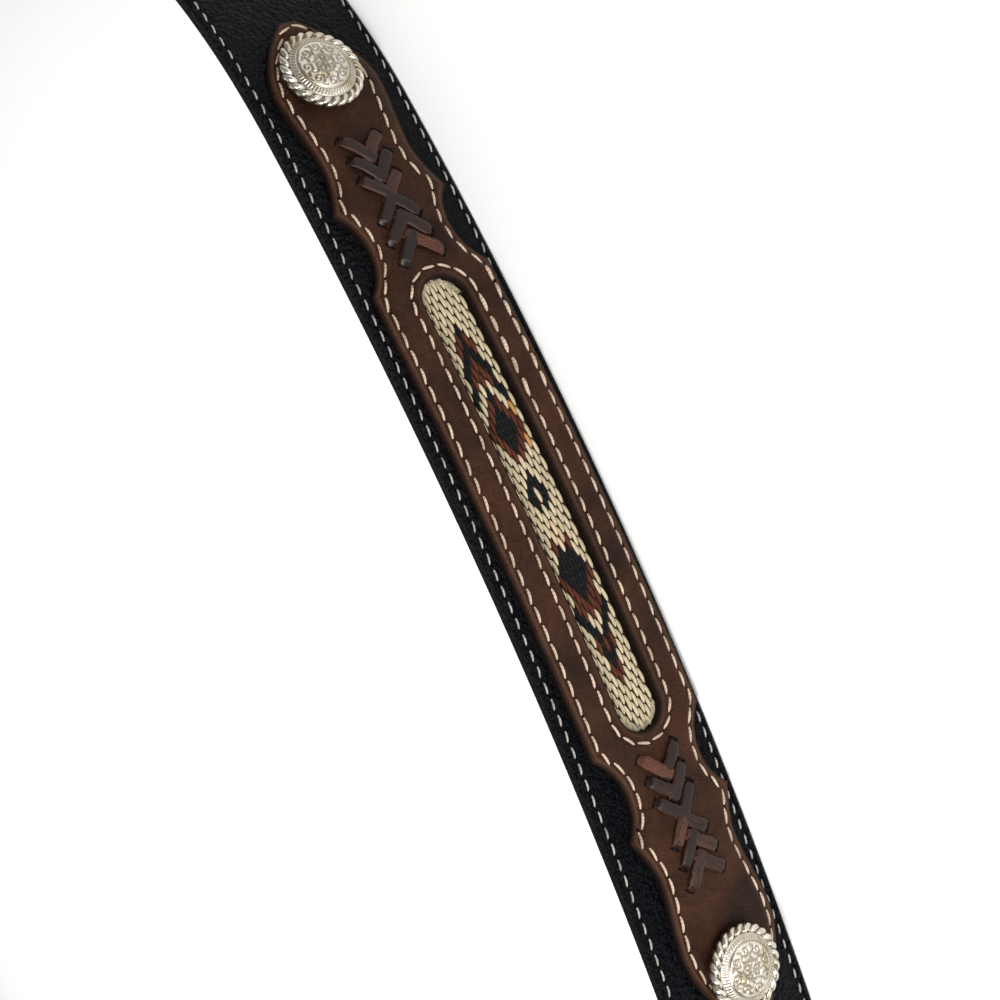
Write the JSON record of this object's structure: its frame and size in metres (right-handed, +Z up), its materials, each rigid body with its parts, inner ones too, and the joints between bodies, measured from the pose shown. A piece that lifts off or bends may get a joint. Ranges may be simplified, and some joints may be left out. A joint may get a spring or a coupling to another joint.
{
  "type": "western concho belt",
  "caption": "Unbuckled leather belt on its edge, with a scalloped overlay, woven inlay, laced arrows and domed conchos on the front and a plain heel-bar buckle.",
  "frame": {"origin": "under the middle of the belt's box, on the surface that the strap's lower edge stands on", "axes": "+Z up, the decorated face looks towards -Y, the buckle lies at -X and the tip at +X"},
  "size_m": [0.53, 0.3746, 0.0381],
  "materials": {
    "black_leather": "pebble grain, semi-gloss",
    "brown_leather": "oiled, satin",
    "woven_ribbon": "woven",
    "lace_leather": "smooth, semi-gloss",
    "cast_silver": "antiqued bright silver",
    "plated_steel": "satin"
  },
  "bodies": {
    "root": {"strap": "black_leather", "keeper": "black_leather", "overlay": "brown_leather", "ribbon": "woven_ribbon", "lace_left": "lace_leather", "lace_right": "lace_leather", "concho_left": "cast_silver", "concho_right": "cast_silver", "concho_screw_left": "plated_steel", "concho_screw_right": "plated_steel", "buckle": "plated_steel"}
  },
  "joints": []
}
